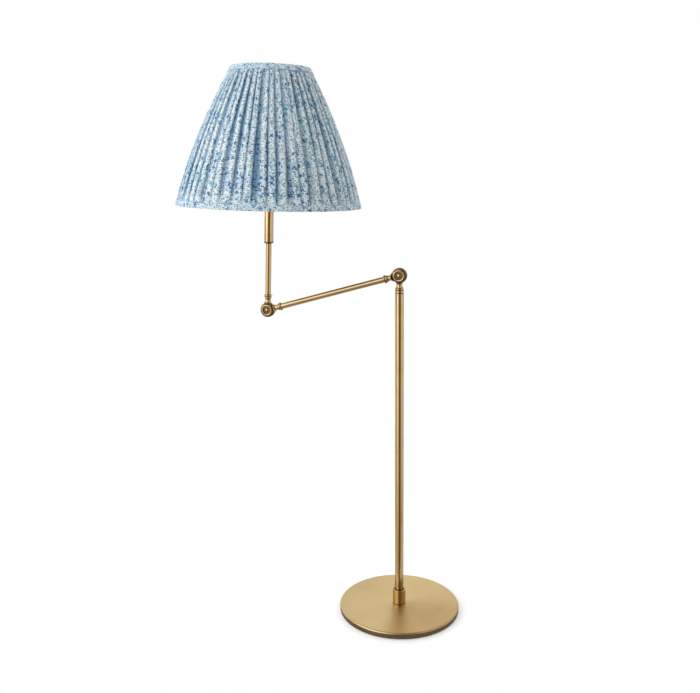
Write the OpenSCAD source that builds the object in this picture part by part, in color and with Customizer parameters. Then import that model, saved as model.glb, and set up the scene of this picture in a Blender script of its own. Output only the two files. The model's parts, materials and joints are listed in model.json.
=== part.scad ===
// Bridge floor lamp: a weighted disc base, a pole, a swinging arm between two friction
// knuckles, and an upright stem that carries a lampholder and a pleated, bowed shade.
// Millimetres, +Z up. The origin is the centre of the foot, on the floor. The arm reaches
// towards -X, both knuckles turn about Y, and the front is -Y.

/* [Base] */
// Diameter of the disc base
base_d = 260; // [220:1:340]
// Height of the base's top face above the floor
base_h = 14; // [13:0.5:24]
// Wall of the spun cover over the weight
cover_wall = 1.2; // [0.8:0.1:2]
// Rounding of the cover's top edge
cover_top_r = 4; // [2.5:0.1:5]
// Rounding of the cover's bottom edge
cover_foot_r = 2.2; // [1.5:0.1:2.5]
// Height of the cover's foot above the floor
cover_foot_z = 1; // [0.6:0.1:1.4]
// Thickness of the felt pad that the lamp stands on
felt_h = 1.5; // [1.2:0.1:3]
// Distance from the cover's side in to the felt's edge
felt_inset = 7; // [5:0.5:15]
// Diameter of the well in the weight for the nut
nut_well_d = 34; // [28:1:50]
// Depth of that well
nut_well_h = 7; // [6.5:0.1:9]
// Width of the channel that leads the supply lead out of the weight
channel_w = 8; // [6:0.5:12]
// Hole for the supply lead in the cover's side
inlet_d = 6; // [5:0.1:6.4]
// Bore of the grommet in that hole
grommet_bore = 4; // [3:0.1:4.6]

/* [Pole] */
// Diameter of the pole
pole_d = 19; // [16:0.1:26]
// Wall of the pole tube
pole_wall = 1.5; // [1:0.1:1.6]
// Height of the shoulder knuckle's pivot above the floor
shoulder_z = 740; // [450:1:1100]
// Outer diameter of the socket that holds the pole's foot
socket_d = 28; // [27:0.5:38]
// Height of that socket above the base
socket_h = 32; // [24:1:60]
// Thickness of the socket's floor
socket_floor = 4; // [3:0.5:6]
// Radial gap that shows round the pole in the socket's mouth
socket_mouth = 1.6; // [1:0.1:1.8]
// Depth of that gap
socket_mouth_h = 3; // [2:0.5:6]
// Outer diameter of the threaded nipples
nipple_d = 9.8; // [9:0.1:10]
// Bore of the threaded nipples
nipple_bore = 7; // [6:0.1:7.4]
// Length of the threaded plug inside the pole's foot
foot_plug_h = 18; // [12:1:24]

/* [Swivel] */
// Height of the ring that shows between the two grooves at the pole's top
band_h = 3.6; // [3:0.1:9]
// Height of each groove
groove_h = 2.2; // [0.8:0.1:2.6]
// Depth of each groove
groove_depth = 1; // [0.5:0.1:1.3]
// Length of the bush inside the pole
bush_h = 20; // [14:1:30]
// Diameter of the swivel's spigot
spigot_d = 10; // [9:0.1:10.6]

/* [Knuckles] */
// Radius of the knuckle discs
knuckle_r = 16; // [15.6:0.1:18]
// Radius of their half-round rim, seen in section
rim_r = 2.9; // [2.6:0.1:3.2]
// Radius of the raised ring on each disc's face
ridge_r = 10.6; // [10.4:0.1:11.2]
// Width of that ring
ridge_w = 4; // [3.6:0.1:4.2]
// Depth of the dish inside the ring, below the disc's face
dish_depth = 1; // [0.6:0.1:1.4]
// Diameter of the pivot bolts
pivot_d = 6; // [5:0.1:6.4]
// Diameter of the bolts' domed heads and of the domed nuts
head_d = 10; // [9:0.1:12]
// Height of the domes
head_h = 3; // [2.4:0.1:3.4]
// Diameter of the friction washer between the discs
friction_d = 19; // [16:0.5:19.4]
// Thickness of the friction washer
friction_h = 1; // [0.9:0.05:1.1]
// Widest radius of a knuckle's neck, where it leaves the disc
neck_r = 8.8; // [8:0.1:9]
// Radius of the collar round the end of each neck
collar_r = 9.35; // [9.2:0.05:9.6]
// Rounding of that collar
collar_round = 1.8; // [1.2:0.1:2]
// Bore of the wire passage through the necks
wire_bore = 6; // [5:0.1:6.4]

/* [Arm] */
// Distance between the shoulder's and the elbow's pivots
arm_len = 311; // [200:1:420]
// How far the arm slopes down from the shoulder, in degrees
arm_drop = 15.9; // [0:0.1:20]
// Diameter of the arm and stem tubes
tube_d = 12.7; // [11.6:0.1:14]
// Wall of the arm and stem tubes
tube_wall = 1; // [0.8:0.1:1.2]
// How far a knuckle's spigot reaches into its tube
tube_grip = 14; // [8:1:24]

/* [Stem] */
// Lean of the stem towards the pole, in degrees
stem_lean = 2; // [0:0.1:5]
// Distance from the elbow's pivot up to the sleeve's foot
sleeve_z = 148; // [110:1:190]
// Diameter of the sleeve under the lampholder
sleeve_d = 20; // [18:0.1:24]
// Length of the sleeve
sleeve_h = 114; // [70:1:150]
// Wall of the sleeve
sleeve_wall = 1.2; // [0.8:0.1:1.4]
// How far the sleeve's foot bead stands out
sleeve_bead = 0.8; // [0.3:0.1:1]

/* [Lampholder] */
// Outer diameter of the lampholder
holder_d = 38; // [37:0.1:42]
// Height of the lampholder's domed cap
holder_cap_h = 14; // [12:0.5:20]
// Height of the skirt below the flange that carries the shade
holder_low_h = 26; // [22:0.5:34]
// Height of the threaded skirt above that flange
holder_top_h = 20; // [16:0.5:26]
// Thickness of the lampholder's walls
holder_wall = 1.4; // [1:0.1:1.6]
// How far the flange stands out
holder_flange = 2.2; // [1.6:0.1:3]
// Height of the ring nut that clamps the shade
ring_nut_h = 8; // [6:0.5:10]
// Bore of the screw shell, over the bulb's cap
shell_d = 26.6; // [26.4:0.1:27]

/* [Bulb] */
// Diameter of the bulb
bulb_d = 60; // [45:1:70]
// Length of the bulb above its cap
bulb_h = 80; // [74:1:95]
// Wall of the bulb's glass
bulb_wall = 1; // [0.8:0.1:1.5]

/* [Shade] */
// Distance from the elbow's pivot up to the shade's bottom rim
shade_z = 229; // [190:1:260]
// Height of the shade
shade_h = 292; // [240:1:360]
// Diameter over the pleats at the bottom rim
shade_bottom_d = 400; // [320:1:480]
// Diameter over the pleats at the top rim
shade_top_d = 168; // [150:1:240]
// How far the shade's sides bow out from straight
shade_bow = 9.5; // [4:0.5:14]
// Number of knife pleats round the shade
pleats = 52; // [36:1:52]
// Depth of a pleat
pleat_depth = 2.4; // [1.6:0.1:3]
// How unequal the pleats' widths are
pleat_stray = 0.14; // [0:0.01:0.2]
// Thickness of the shade's cloth
cloth = 0.6; // [0.5:0.1:0.8]
// Height of the flat bands round both rims
rim_band_h = 12; // [8:0.5:18]
// Thickness of the shade's lining
lining = 0.8; // [0.6:0.1:1.2]
// Diameter of the frame's wires
wire_d = 2.6; // [2.2:0.1:3]
// Number of bowed struts in the frame
struts = 8; // [6:1:12]
// Number of arms that carry the shade
fitter_arms = 3; // [3:1:4]

/* [Hidden] */
$fn = 120;
// Gap between round pieces that fit each other, on the radius
fit = 0.08;
// Gap between faces of pieces that move past each other
run = 0.15;
// Gap between soft pieces and what they lie on
ease = 0.2;
// Gap between faces that are clamped together
seam = 0.05;
// Cutting shapes reach this far past what they cut
over = 1;

base_r = base_d / 2;
cover_in_top = base_h - cover_wall;
pole_bore = pole_d - 2 * pole_wall;
pole_foot_z = base_h + socket_floor + run;
nut_h = 3.6;
washer_h = 1.2;
base_nut_flats = 17;
base_washer_d = 26;
swivel_nut_flats = 13;
swivel_washer_d = pole_bore - 2;
weight_z = felt_h;
well_top_z = weight_z + nut_well_h;
nipple_foot_z = well_top_z - washer_h - nut_h - 1;
nipple_head_z = pole_foot_z + foot_plug_h - 2;
inlet_z = (cover_foot_z + cover_foot_r + base_h - cover_top_r) / 2;

// Down from the shoulder's pivot: the collar, a groove, the ring, a groove, the pole
pole_collar = 28;
upper_groove_h = 3.6;
bush_face = pole_collar + upper_groove_h + run;
pole_top_z = shoulder_z - bush_face - band_h - groove_h;
bush_foot_z = pole_top_z - bush_h;
spigot_foot_z = bush_foot_z - run - washer_h - nut_h - 2;

// Along a knuckle's neck, from the pivot
face_gap = 0.4;
disc_t = face_gap + 2 * rim_r;
dish_t = disc_t - dish_depth;
crest_t = disc_t + ridge_w / 2;
dish_r = ridge_r - ridge_w / 2 - 0.6;
recess_t = friction_h / 2 + 0.1;
bolt_end = 1.6;
crown_h = head_h + 0.4;
neck_start = friction_d / 2 + 1;
saddle_r = knuckle_r + 0.5;
neck_rise = 6.2;
neck_sink = 0.3;
neck_stop_r = knuckle_r - rim_r + 0.3;
pole_waist = 19.8;
pole_waist_r = 6.2;
tube_waist = 22.6;
tube_waist_r = 5.9;
tube_collar = 32;
tube_start = tube_collar + collar_round;
tube_bore = tube_d - 2 * tube_wall;

// Up the stem from the elbow's pivot
sleeve_top = sleeve_z + sleeve_h;
stem_top = sleeve_top - sleeve_wall - run;
cap_top = sleeve_top + holder_cap_h;
flange_z = cap_top + holder_low_h;
carrier_h = 1.6;
carrier_r = holder_d / 2 + 6.5;
ring_nut_z = flange_z + carrier_h + 2 * run;
holder_top = flange_z + holder_top_h;
core_top = cap_top + 12;
core_inset = 3;
shell_wall = 1;
contact_h = 3;
bulb_cap_z = core_top + contact_h + ease;
bulb_cap_h = 25;
bulb_cap_d = shell_d - 0.4;
bulb_neck_z = bulb_cap_z + bulb_cap_h;

// The bowed side is an arc through both rims, and this is its radius and centre
rim_run = (shade_bottom_d - shade_top_d) / 2;
slope = atan(rim_run / shade_h);
chord = sqrt(rim_run * rim_run + shade_h * shade_h);
bow_r = (chord * chord / 4 + shade_bow * shade_bow) / (2 * shade_bow);
bow_x = (shade_bottom_d + shade_top_d) / 4 - (bow_r - shade_bow) * shade_h / chord;
bow_z = shade_h / 2 - (bow_r - shade_bow) * rim_run / chord;
end_turn = asin(chord / 2 / bow_r);

// Radius over the pleats at a height above the bottom rim
function side_r(h) = bow_x + sqrt(bow_r * bow_r - (h - bow_z) * (h - bow_z));

// The shade's layers, inwards from the pleats' crests
sag = 1;
cloth_in = pleat_depth + cloth;
wire_in = cloth_in + sag + ease;
wire_room = wire_d / cos(slope + end_turn) + 2 * ease;
lining_out = wire_in + wire_room;
lining_in = lining_out + lining;
wire_c = wire_in + wire_room / 2;
band_out = 1;
ring_up = 2.2;
lining_up = 6;
ring_low_r = side_r(ring_up) - wire_c;
ring_top_r = side_r(shade_h - ring_up) - wire_c;

// Frames of the moving pieces. In each, +Z runs along the tube, away from the pivot.
module pole_frame() {
    translate([0, 0, shoulder_z]) rotate([0, 180, 0]) children();
}

module arm_frame() {
    translate([0, 0, shoulder_z]) rotate([0, -90 - arm_drop, 0]) children();
}

module elbow_place() {
    translate([-arm_len * cos(arm_drop), 0, shoulder_z - arm_len * sin(arm_drop)]) children();
}

module arm_end_frame() {
    elbow_place() rotate([0, 90 - arm_drop, 0]) children();
}

module stem_frame() {
    elbow_place() rotate([0, stem_lean, 0]) children();
}

module tube(d, bore, h) {
    difference() {
        cylinder(d = d, h = h);
        translate([0, 0, -over]) cylinder(d = bore, h = h + 2 * over);
    }
}

// Turns a shape that stands along +Z so that it points to the front or to the rear
module facing(side) {
    rotate([-90 * side, 0, 0]) children();
}

// Section of a dome over a bore
module dome_section(d, h, bore) {
    r = (d * d / 4 + h * h) / (2 * h);
    intersection() {
        translate([0, h - r]) circle(r = r);
        translate([bore / 2, 0]) square([d, h]);
    }
}

// ---- base and pole ----

// Half section of the base cover's outside, drawn in by a wall
module cover_section(wall) {
    r = base_r - wall;
    top = base_h - wall;
    foot = cover_foot_z;
    top_r = cover_top_r - wall;
    foot_r = cover_foot_r - wall;
    foot_c = cover_foot_z + cover_foot_r;
    union() {
        translate([0, foot]) square([base_r - cover_foot_r, top - top_r - foot]);
        translate([0, foot_c]) square([r, top - top_r - foot_c]);
        square([r - top_r, top]);
        translate([r - top_r, top - top_r]) circle(r = top_r);
        translate([base_r - cover_foot_r, foot_c]) circle(r = foot_r);
    }
}

module base_cover() {
    color("darkkhaki")
    difference() {
        rotate_extrude() intersection() {
            cover_section(0);
            translate([0, cover_foot_z]) square([base_r, base_h]);
        }
        rotate_extrude() intersection() {
            cover_section(cover_wall);
            translate([0, -over]) square([base_r - cover_foot_r, base_h + over]);
        }
        rotate_extrude() intersection() {
            cover_section(cover_wall);
            translate([0, cover_foot_z + cover_foot_r]) square([base_r, base_h]);
        }
        translate([0, 0, base_h / 2]) cylinder(d = nipple_d + 2 * fit, h = base_h);
        translate([0, 0, inlet_z]) rotate([-90, 0, 0]) cylinder(d = inlet_d, h = base_r + over);
    }
}

module base_weight() {
    r = base_r - max(cover_top_r, cover_wall + cover_foot_r);
    color("dimgray")
    difference() {
        translate([0, 0, weight_z]) cylinder(r = r, h = cover_in_top - run - weight_z);
        translate([0, 0, -over]) cylinder(d = nut_well_d, h = well_top_z + over);
        cylinder(d = nipple_d + 2 * fit, h = base_h);
        translate([-channel_w / 2, 0, -over])
            cube([channel_w, base_r, inlet_z + channel_w / 2 + over]);
    }
}

module base_felt() {
    color("darkslategray") cylinder(r = base_r - felt_inset, h = felt_h);
}

module cable_grommet() {
    lip = 1.2;
    lip_h = 1;
    reach = cover_wall + 2;
    color("saddlebrown")
    translate([0, 0, inlet_z]) rotate([-90, 0, 0]) translate([0, 0, base_r - reach]) difference() {
        union() {
            cylinder(d = inlet_d - 2 * fit, h = reach + run);
            translate([0, 0, reach + run]) cylinder(d = inlet_d + 2 * lip, h = lip_h);
        }
        translate([0, 0, -over]) cylinder(d = grommet_bore, h = reach + run + lip_h + 2 * over);
    }
}

module base_nipple() {
    color("goldenrod")
    translate([0, 0, nipple_foot_z]) tube(nipple_d, nipple_bore, nipple_head_z - nipple_foot_z);
}

module base_washer() {
    color("silver")
    translate([0, 0, well_top_z - washer_h]) tube(base_washer_d, nipple_d + 2 * fit, washer_h - seam);
}

module hex_nut(flats, bore, h) {
    difference() {
        cylinder(d = flats / cos(30), h = h, $fn = 6);
        translate([0, 0, -over]) cylinder(d = bore, h = h + 2 * over);
    }
}

module base_nut() {
    color("goldenrod")
    translate([0, 0, well_top_z - washer_h - nut_h - seam])
        hex_nut(base_nut_flats, nipple_d + 2 * fit, nut_h);
}

module pole_socket() {
    edge = 0.8;
    r = socket_d / 2;
    color("darkkhaki")
    translate([0, 0, base_h]) rotate_extrude() difference() {
        union() {
            square([r, socket_h - edge]);
            square([r - edge, socket_h]);
            translate([r - edge, socket_h - edge]) circle(r = edge);
        }
        square([nipple_d / 2 + fit, socket_h]);
        translate([0, socket_floor]) square([pole_d / 2 + fit, socket_h]);
        translate([0, socket_h - socket_mouth_h]) square([pole_d / 2 + socket_mouth, socket_h]);
    }
}

module pole_foot_plug() {
    color("goldenrod")
    translate([0, 0, pole_foot_z]) tube(pole_bore - 2 * fit, nipple_d + 2 * fit, foot_plug_h);
}

module pole() {
    color("darkkhaki")
    translate([0, 0, pole_foot_z]) tube(pole_d, pole_bore, pole_top_z - pole_foot_z);
}

// ---- swivel at the pole's top ----

module swivel_bush() {
    color("darkkhaki")
    difference() {
        union() {
            translate([0, 0, bush_foot_z]) cylinder(d = pole_bore - 2 * fit, h = bush_h + groove_h);
            translate([0, 0, pole_top_z + seam]) cylinder(d = pole_d - 2 * groove_depth, h = groove_h);
            translate([0, 0, pole_top_z + groove_h]) cylinder(d = pole_d, h = band_h);
        }
        translate([0, 0, bush_foot_z - over]) cylinder(d = spigot_d + 2 * fit, h = 2 * bush_h + band_h);
    }
}

module swivel_knuckle() {
    color("darkkhaki")
    pole_frame() difference() {
        union() {
            knuckle_half(-1, pole_waist, pole_waist_r, pole_collar);
            translate([0, 0, pole_collar]) cylinder(d = pole_d - 2 * groove_depth, h = upper_groove_h);
            translate([0, 0, pole_collar])
                cylinder(d = spigot_d, h = shoulder_z - pole_collar - spigot_foot_z);
        }
        translate([0, 0, neck_start]) cylinder(d = wire_bore, h = shoulder_z - spigot_foot_z);
    }
}

module swivel_washer() {
    color("silver")
    translate([0, 0, bush_foot_z - run - washer_h]) tube(swivel_washer_d, spigot_d + 2 * fit, washer_h);
}

module swivel_nut() {
    color("goldenrod")
    translate([0, 0, bush_foot_z - run - washer_h - nut_h - seam])
        hex_nut(swivel_nut_flats, spigot_d + 2 * fit, nut_h);
}

// ---- knuckles ----

// Section of one half's disc: a half-round rim, a raised ring and a dish
module disc_section() {
    difference() {
        union() {
            translate([0, face_gap]) square([knuckle_r - rim_r, 2 * rim_r]);
            translate([knuckle_r - rim_r, face_gap + rim_r]) circle(r = rim_r);
            translate([ridge_r, disc_t]) circle(r = ridge_w / 2);
        }
        translate([0, dish_t]) square([dish_r, crest_t]);
        square([pivot_d / 2 + fit, crest_t]);
        square([friction_d / 2 + ease, recess_t]);
    }
}

// Section of a neck: it narrows to its waist and ends in a rounded collar
module neck_section(waist, waist_r, collar) {
    flare = neck_r - waist_r;
    cut_r = (neck_rise * neck_rise + flare * flare) / (2 * flare);
    difference() {
        union() {
            translate([0, neck_start]) square([neck_r, waist - neck_start]);
            translate([0, waist - over]) square([collar_r - collar_round, collar - waist + over]);
            translate([0, collar - collar_round]) square([collar_r - collar_round, 2 * collar_round]);
            translate([collar_r - collar_round, collar]) circle(r = collar_round);
        }
        translate([waist_r + cut_r, waist]) circle(r = cut_r);
    }
}

// One half of a knuckle: side -1 has its disc at the front and +1 at the rear
module knuckle_half(side, waist, waist_r, collar) {
    facing(side) rotate_extrude() disc_section();
    difference() {
        rotate_extrude() neck_section(waist, waist_r, collar);
        // room for the other half's disc
        translate([0, side * face_gap, 0]) facing(-side) cylinder(r = saddle_r, h = knuckle_r);
        // the neck stops at the disc's rim, a little below the disc's face
        translate([0, side * (disc_t - neck_sink), 0]) facing(side) cylinder(r = neck_stop_r, h = knuckle_r);
    }
}

// A knuckle half that ends in a spigot for a tube
module tube_knuckle(side) {
    difference() {
        union() {
            knuckle_half(side, tube_waist, tube_waist_r, tube_collar);
            translate([0, 0, tube_collar]) cylinder(d = tube_bore - 2 * fit, h = collar_round + tube_grip);
        }
        translate([0, 0, neck_start]) cylinder(d = wire_bore, h = tube_start + tube_grip);
    }
}

// Turned in one: a domed head in the front dish and a shank through both halves
module pivot_bolt() {
    seat = dish_t + seam;
    facing(-1) rotate_extrude() union() {
        translate([0, seat]) dome_section(head_d, head_h, 0);
        translate([0, -seat - bolt_end]) square([pivot_d / 2, 2 * seat + bolt_end + over / 2]);
    }
}

module cap_nut() {
    facing(1) translate([0, 0, dish_t + seam]) rotate_extrude() difference() {
        dome_section(head_d, crown_h, 0);
        translate([0, -over]) square([pivot_d / 2 + fit, bolt_end + over + 2 * seam]);
    }
}

module friction_washer() {
    translate([0, -friction_h / 2, 0]) facing(1) tube(friction_d, pivot_d + 2 * fit, friction_h);
}

module shoulder_place() {
    translate([0, 0, shoulder_z]) children();
}

module shoulder_bolt() {
    color("goldenrod") shoulder_place() pivot_bolt();
}

module shoulder_cap_nut() {
    color("goldenrod") shoulder_place() cap_nut();
}

module shoulder_washer() {
    color("silver") shoulder_place() friction_washer();
}

module elbow_bolt() {
    color("goldenrod") elbow_place() pivot_bolt();
}

module elbow_cap_nut() {
    color("goldenrod") elbow_place() cap_nut();
}

module elbow_washer() {
    color("silver") elbow_place() friction_washer();
}

// ---- arm ----

module arm_shoulder_knuckle() {
    color("darkkhaki") arm_frame() tube_knuckle(1);
}

module arm_elbow_knuckle() {
    color("darkkhaki") arm_end_frame() tube_knuckle(1);
}

module arm_tube() {
    color("darkkhaki")
    arm_frame() translate([0, 0, tube_start + seam])
        tube(tube_d, tube_bore, arm_len - 2 * tube_start - 2 * seam);
}

// ---- stem and lampholder ----

module stem_knuckle() {
    color("darkkhaki") stem_frame() tube_knuckle(-1);
}

module stem_tube() {
    color("darkkhaki")
    stem_frame() translate([0, 0, tube_start + seam]) tube(tube_d, tube_bore, stem_top - tube_start - seam);
}

module holder_sleeve() {
    foot_h = 3;
    bead_r = foot_h / 2;
    bead_c = sleeve_d / 2 + sleeve_bead - bead_r;
    color("darkkhaki")
    stem_frame() translate([0, 0, sleeve_z]) rotate_extrude() difference() {
        union() {
            square([sleeve_d / 2, sleeve_h]);
            translate([bead_c, bead_r]) circle(r = bead_r);
        }
        square([tube_d / 2 + fit, foot_h + over]);
        translate([0, foot_h]) square([sleeve_d / 2 - sleeve_wall, sleeve_h - foot_h - sleeve_wall]);
        square([nipple_d / 2 + fit, sleeve_h + over]);
    }
}

module holder_nipple() {
    down = 16;
    up = 10;
    color("goldenrod")
    stem_frame() translate([0, 0, stem_top - down]) tube(nipple_d, nipple_bore, down + up);
}

// The cap flares from the sleeve to the skirt in a quarter round, and is hollow above a thick floor
module holder_cap() {
    r = holder_d / 2;
    neck = sleeve_d / 2;
    neck_h = 2.5;
    floor_h = 5.5;
    flare = r - neck;
    color("darkkhaki")
    stem_frame() translate([0, 0, sleeve_top + seam]) rotate_extrude() difference() {
        union() {
            square([neck, neck_h + over]);
            intersection() {
                translate([neck, neck_h + flare]) circle(r = flare);
                translate([neck, neck_h]) square([flare, flare]);
            }
            translate([0, neck_h]) square([neck, holder_cap_h - neck_h]);
            translate([0, neck_h + flare]) square([r, holder_cap_h - neck_h - flare]);
        }
        square([nipple_d / 2 + fit, holder_cap_h]);
        intersection() {
            translate([neck, neck_h + flare]) circle(r = flare - holder_wall);
            translate([neck, floor_h]) square([flare, holder_cap_h]);
        }
        translate([0, floor_h]) square([neck, holder_cap_h]);
        translate([0, neck_h + flare]) square([r - holder_wall, holder_cap_h]);
    }
}

// The skirt stands on the cap, its flange carries the shade and its top is threaded
module holder_skirt() {
    r = holder_d / 2;
    foot = cap_top + 2 * seam;
    flange_h = 2;
    color("darkkhaki")
    stem_frame() translate([0, 0, foot]) rotate_extrude() difference() {
        union() {
            square([r, holder_top - foot]);
            translate([0, flange_z - foot - flange_h]) square([r + holder_flange, flange_h]);
        }
        translate([0, holder_wall]) square([r - holder_wall, holder_top]);
        square([r - holder_wall - 3, holder_top]);
    }
}

module holder_core() {
    r = holder_d / 2 - holder_wall - fit;
    foot = cap_top + holder_wall + ease;
    color("white")
    stem_frame() translate([0, 0, foot]) difference() {
        cylinder(r = r, h = holder_top - foot - core_inset);
        translate([0, 0, core_top - foot]) cylinder(r = shell_d / 2 + shell_wall + ease, h = holder_top);
        translate([0, 0, -over]) cylinder(d = wire_bore, h = holder_top);
    }
}

module holder_shell() {
    color("goldenrod")
    stem_frame() translate([0, 0, core_top + 2 * seam])
        tube(shell_d + 2 * shell_wall, shell_d, holder_top - core_top - 2 * core_inset);
}

module holder_contact() {
    button_d = 5;
    strip = [12, 5, 1];
    color("goldenrod")
    stem_frame() translate([0, 0, core_top + 2 * seam]) union() {
        translate([-strip[0] / 2, -strip[1] / 2, 0]) cube(strip);
        cylinder(d = button_d, h = contact_h - 2 * seam);
    }
}

module shade_ring_nut() {
    wall = 2;
    brim = 3.6;
    color("ivory")
    stem_frame() translate([0, 0, ring_nut_z]) rotate_extrude() translate([holder_d / 2 + fit, 0]) union() {
        square([brim, wall]);
        square([wall, ring_nut_h]);
    }
}

// ---- bulb ----

// A contact button, a tapered shoulder and the screw part, hollow above the shoulder
module bulb_cap() {
    r = bulb_cap_d / 2;
    button_r = 4.8;
    button_h = 1.6;
    shoulder_h = 6;
    wall = 1;
    color("silver")
    stem_frame() translate([0, 0, bulb_cap_z]) rotate_extrude() difference() {
        polygon([
            [0, 0], [button_r - wall, 0], [button_r, button_h], [r - 4, button_h + wall],
            [r, shoulder_h], [r, bulb_cap_h], [0, bulb_cap_h]]);
        translate([0, shoulder_h + wall]) square([r - wall, bulb_cap_h]);
    }
}

module bulb_section(wall) {
    r = bulb_d / 2 - wall;
    neck = bulb_cap_d / 2 - 0.6 - wall;
    centre = bulb_h - bulb_d / 2;
    lean = 34;
    translate([0, centre]) circle(r = r);
    polygon([
        [0, 0], [neck, 0], [neck, centre - bulb_d * 0.62],
        [r * cos(lean), centre - r * sin(lean)], [0, centre]]);
}

module bulb_glass() {
    color("white")
    stem_frame() translate([0, 0, bulb_neck_z + seam]) rotate_extrude() intersection() {
        difference() {
            bulb_section(0);
            bulb_section(bulb_wall);
        }
        square([bulb_d, bulb_h + over]);
    }
}

// ---- shade ----

module shade_frame() {
    stem_frame() translate([0, 0, shade_z]) children();
}

// A straight wire that ends a stop short of its second point
module wire(from, to, d, stop) {
    way = to - from;
    long = norm(way);
    translate(from) rotate([0, acos(way[2] / long), atan2(way[1], way[0])]) cylinder(d = d, h = long - stop);
}

module wire_ring(r, h) {
    color("silver")
    shade_frame() translate([0, 0, h]) rotate_extrude() translate([r, 0]) circle(d = wire_d);
}

module shade_bottom_ring() {
    wire_ring(ring_low_r, ring_up);
}

module shade_top_ring() {
    wire_ring(ring_top_r, shade_h - ring_up);
}

// Each strut is a stretch of the same bowed arc as the shade's side
module shade_struts() {
    d = wire_d - ease;
    r = bow_r - (wire_in + ease / 2) * cos(slope - end_turn) - d / 2;
    end_gap = wire_d / 2 + 2 * seam;
    foot_a = asin((ring_up + end_gap - bow_z) / r);
    head_a = asin((shade_h - ring_up - end_gap - bow_z) / r);
    color("silver")
    shade_frame() for (i = [0:struts - 1]) rotate([0, 0, (i + 0.5) * 360 / struts])
        translate([bow_x, 0, bow_z]) rotate([90, 0, 0]) rotate([0, 0, foot_a])
            rotate_extrude(angle = head_a - foot_a) translate([r, 0]) circle(d = d);
}

// The carrier ring sits on the lampholder's flange and its arms run out to the bottom ring
module shade_fitter() {
    arm_d = 3;
    up = flange_z - shade_z + 2 * seam;
    root = [carrier_r - arm_d / 2, 0, up + carrier_h / 2];
    tip = [ring_low_r, 0, ring_up];
    color("silver")
    shade_frame() union() {
        translate([0, 0, up]) tube(2 * carrier_r, holder_d + 2 * fit, carrier_h);
        for (i = [0:fitter_arms - 1]) rotate([0, 0, 90 + i * 360 / fitter_arms])
            wire(root, tip, arm_d, wire_d / 2 + ease);
    }
}

// Half section of a layer between two depths below the pleats' crests
module layer_section(out, thick, low, high) {
    steps = 10;
    hs = [for (i = [0:steps]) low + (high - low) * i / steps];
    polygon(concat(
        [for (h = hs) [side_r(h) - out, h]],
        [for (i = [steps:-1:0]) [side_r(hs[i]) - out - thick, hs[i]]]));
}

module shade_lining() {
    color("ivory")
    shade_frame() rotate_extrude() layer_section(lining_out, lining, lining_up, shade_h - 2 * ease);
}

// Closed pleated wall: three points a pleat outside, and a smooth inner face
module shade_fabric() {
    turns = [0, 0.16, 0.76];
    depths = [1, 0.4, 0];
    rows = [0, 1 / 3, 2 / 3, 1];
    press = [0.5, 1, 1, 0.5];
    low = ease;
    tall = shade_h - 2 * low;
    around = pleats * 3;
    inner = 4 * around;
    stray_step = 137.5;
    function pleat(k) = floor(k / 3);
    function turn(k) = 360 / pleats * (pleat(k) + turns[k % 3] + pleat_stray * sin(stray_step * pleat(k)));
    function next(k) = (k + 1) % around;
    function spot(j, k, depth) =
        let (h = rows[j] * tall, r = side_r(h) - depth) [r * cos(turn(k)), r * sin(turn(k)), low + h];
    function pair(a, b, c, d) = [[a, b, c], [a, c, d]];
    function flat(lists) = [for (list = lists) for (item = list) item];
    outside = [for (j = [0:3]) for (k = [0:around - 1]) spot(j, k, depths[k % 3] * press[j] * pleat_depth)];
    inside = [for (j = [0:3]) for (k = [0:around - 1]) spot(j, k, cloth_in)];
    walls = flat([for (j = [0:2]) for (k = [0:around - 1])
        let (a = j * around + k, b = j * around + next(k)) pair(b, a, a + around, b + around)]);
    backs = [for (f = walls) [f[0] + inner, f[2] + inner, f[1] + inner]];
    feet = flat([for (k = [0:around - 1]) pair(k, next(k), inner + next(k), inner + k)]);
    tops = flat([for (k = [0:around - 1])
        let (a = 3 * around + k, b = 3 * around + next(k)) pair(b, a, inner + a, inner + b)]);
    color("lightsteelblue")
    shade_frame() polyhedron(points = concat(outside, inside), faces = concat(walls, backs, feet, tops));
}

// Flat bands bind both rims and turn in over their edges
module rim_band(rim_h, way) {
    gap = 2 * seam;
    lip = gap + cloth;
    low = min(rim_h - way * lip, rim_h + way * rim_band_h);
    color("lightsteelblue")
    shade_frame() rotate_extrude() union() {
        layer_section(-band_out, band_out - ease, low, low + rim_band_h + lip);
        translate([side_r(rim_h) - lining_in, min(rim_h - way * lip, rim_h - way * gap)])
            square([lining_in + band_out - ease, cloth]);
    }
}

module shade_bottom_band() {
    rim_band(0, 1);
}

module shade_top_band() {
    rim_band(shade_h, -1);
}

base_felt();
base_weight();
base_cover();
cable_grommet();
base_nipple();
base_washer();
base_nut();
pole_socket();
pole_foot_plug();
pole();
swivel_bush();
swivel_knuckle();
swivel_washer();
swivel_nut();
shoulder_bolt();
shoulder_cap_nut();
shoulder_washer();
arm_shoulder_knuckle();
arm_tube();
arm_elbow_knuckle();
stem_knuckle();
elbow_bolt();
elbow_cap_nut();
elbow_washer();
stem_tube();
holder_sleeve();
holder_nipple();
holder_cap();
holder_skirt();
holder_core();
holder_shell();
holder_contact();
shade_ring_nut();
shade_fitter();
shade_bottom_ring();
shade_top_ring();
shade_struts();
shade_lining();
shade_fabric();
shade_bottom_band();
shade_top_band();
bulb_cap();
bulb_glass();
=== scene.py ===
import bpy
import bmesh
import json
from math import atan2, cos, pi, radians, sin, sqrt
from mathutils import Matrix, Vector, noise


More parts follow.
